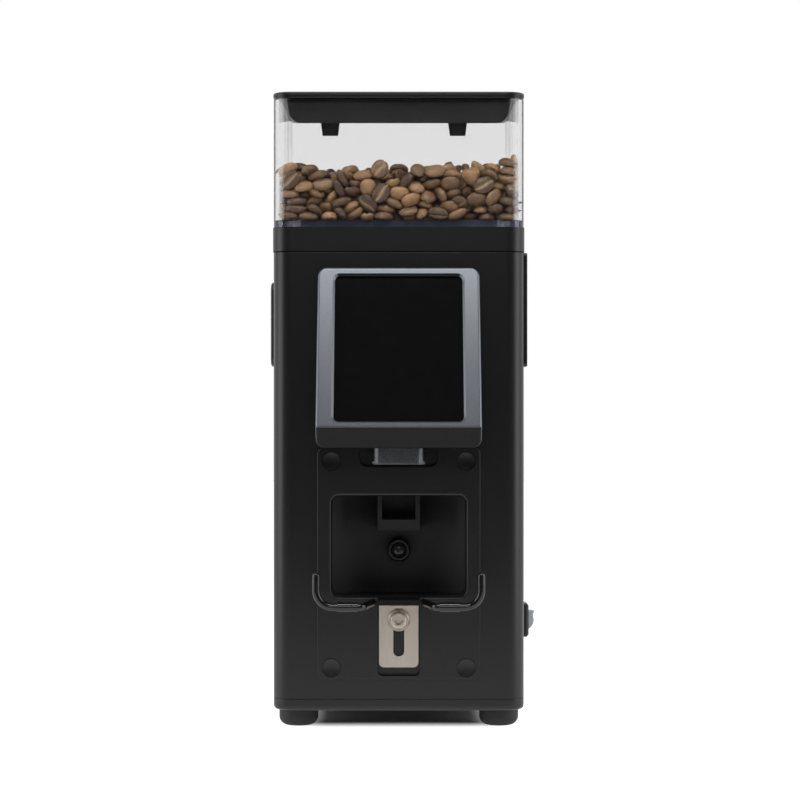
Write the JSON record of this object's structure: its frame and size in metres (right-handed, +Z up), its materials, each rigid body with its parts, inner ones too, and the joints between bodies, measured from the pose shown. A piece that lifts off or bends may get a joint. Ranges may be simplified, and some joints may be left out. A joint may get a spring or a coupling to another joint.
{
  "type": "burr coffee grinder",
  "caption": "Upright electric burr coffee grinder with a clear bean hopper, leaning display head, portafilter bay with adjustable fork, and side grind dial.",
  "frame": {"origin": "middle of the overall footprint, on the surface that the feet stand on", "axes": "+Z up, the display and the portafilter bay face -Y, +X to the right of someone who faces the front"},
  "size_m": [0.1514, 0.2328, 0.3542],
  "materials": {
    "black_paint": "satin powder coat",
    "black_plastic": "fine moulded texture",
    "grey_paint": "metallic grey paint",
    "display_glass": "gloss black",
    "clear_plastic": "clear moulded",
    "rubber": "matte",
    "rocker_plastic": "semi-gloss",
    "button_plastic": "semi-gloss",
    "stainless": "brushed",
    "coated_rod": "gloss black coat",
    "gloss_sleeve": "gloss",
    "fastener_steel": "zinc plated",
    "tool_steel": "ground",
    "cast_alloy": "cast",
    "brass": "machined",
    "lamination": "stacked sheet",
    "copper": "enamelled wire",
    "bearing_steel": "polished",
    "board": "solder mask",
    "inner_plastic": "moulded"
  },
  "bodies": {
    "housing": {"base_tray": "black_plastic", "body_shell": "black_paint", "button_guide": "black_plastic", "button_spring": "fastener_steel", "capacitor": "inner_plastic", "chamber_screws": "fastener_steel", "chassis_plate": "cast_alloy", "chute": "inner_plastic", "display_board": "board", "display_glass": "display_glass", "foot_screws": "fastener_steel", "front_panel": "black_plastic", "grinding_chamber": "cast_alloy", "head_shell": "grey_paint", "inlet_pins": "brass", "lower_bearing": "bearing_steel", "lower_bracket": "cast_alloy", "micro_switch": "inner_plastic", "motor_stator": "lamination", "outlet_spout": "clear_plastic", "panel_screws": "fastener_steel", "portafilter_hook": "black_plastic", "power_board": "board", "power_inlet": "black_plastic", "rubber_feet": "rubber", "screw_caps": "black_plastic", "stator_windings": "copper", "support_columns": "cast_alloy", "switch_bezel": "black_plastic", "throat_tube": "inner_plastic", "tie_bolts": "fastener_steel", "upper_bearing": "bearing_steel", "upper_bracket": "cast_alloy", "vent_grille": "black_plastic", "worm_posts": "cast_alloy"},
    "rotor": {"rotor_core": "lamination", "motor_shaft": "tool_steel", "lower_burr_carrier": "cast_alloy", "lower_burr": "tool_steel", "lower_burr_screws": "fastener_steel", "carrier_nut": "fastener_steel"},
    "dial": {"grind_dial": "black_plastic", "worm_shaft": "tool_steel"},
    "ring": {"adjusting_ring": "brass", "upper_burr_carrier": "cast_alloy", "upper_burr": "tool_steel", "upper_burr_screws": "fastener_steel"},
    "button": {"start_button": "button_plastic"},
    "rocker": {"power_rocker": "rocker_plastic"},
    "fork": {"fork_bracket": "stainless", "fork_arms": "coated_rod", "fork_sleeves": "gloss_sleeve"},
    "clamp": {"clamp_screw": "stainless", "clamp_washer": "stainless"},
    "hopper_unit": {"hopper": "clear_plastic", "hopper_base": "black_plastic", "hopper_seal": "rubber"},
    "lid": {"hopper_lid": "black_plastic", "lid_plug": "black_plastic"},
    "gate": {"hopper_gate": "black_plastic"}
  },
  "joints": [
    {"name": "rotor_spin", "type": "hinge", "parent": "housing", "child": "rotor", "pos_m": [0, 0.0155, 0.2], "axis": [0, 0, 1], "continuous": true},
    {"name": "dial_turn", "type": "hinge", "parent": "housing", "child": "dial", "pos_m": [0, -0.0315, 0.2352], "axis": [1, 0, 0], "range_deg": [-900, 900]},
    {"name": "ring_turn", "type": "hinge", "parent": "housing", "child": "ring", "pos_m": [0, 0.0155, 0.2], "axis": [0, 0, 1], "range_deg": [-22.6, 22.6]},
    {"name": "button_press", "type": "slide", "parent": "housing", "child": "button", "axis": [0, 1, 0], "range_m": [0, 0.003], "stiffness_N_per_m": 300, "springref_m": -0.003, "deforming": ["button_spring"]},
    {"name": "rocker_tip", "type": "hinge", "parent": "housing", "child": "rocker", "pos_m": [0.071, -0.0345, 0.0573], "axis": [0, 1, 0], "range_deg": [-16, 0]},
    {"name": "fork_slide", "type": "slide", "parent": "housing", "child": "fork", "axis": [0, 0, 1], "range_m": [0, 0.017]},
    {"name": "clamp_turn", "type": "hinge", "parent": "housing", "child": "clamp", "pos_m": [0, -0.0745, 0.0604], "axis": [0, -1, 0], "range_deg": [0, 360]},
    {"name": "hopper_lift", "type": "slide", "parent": "housing", "child": "hopper_unit", "axis": [0, 0, 1], "range_m": [0, 0.06]},
    {"name": "lid_lift", "type": "slide", "parent": "hopper_unit", "child": "lid", "axis": [0, 0, 1], "range_m": [0, 0.06]},
    {"name": "gate_slide", "type": "slide", "parent": "hopper_unit", "child": "gate", "axis": [0, 1, 0], "range_m": [0, 0.036]}
  ],
  "couplings": [
    {"joint": "ring_turn", "follows": "dial_turn", "ratio": -0.025}
  ]
}
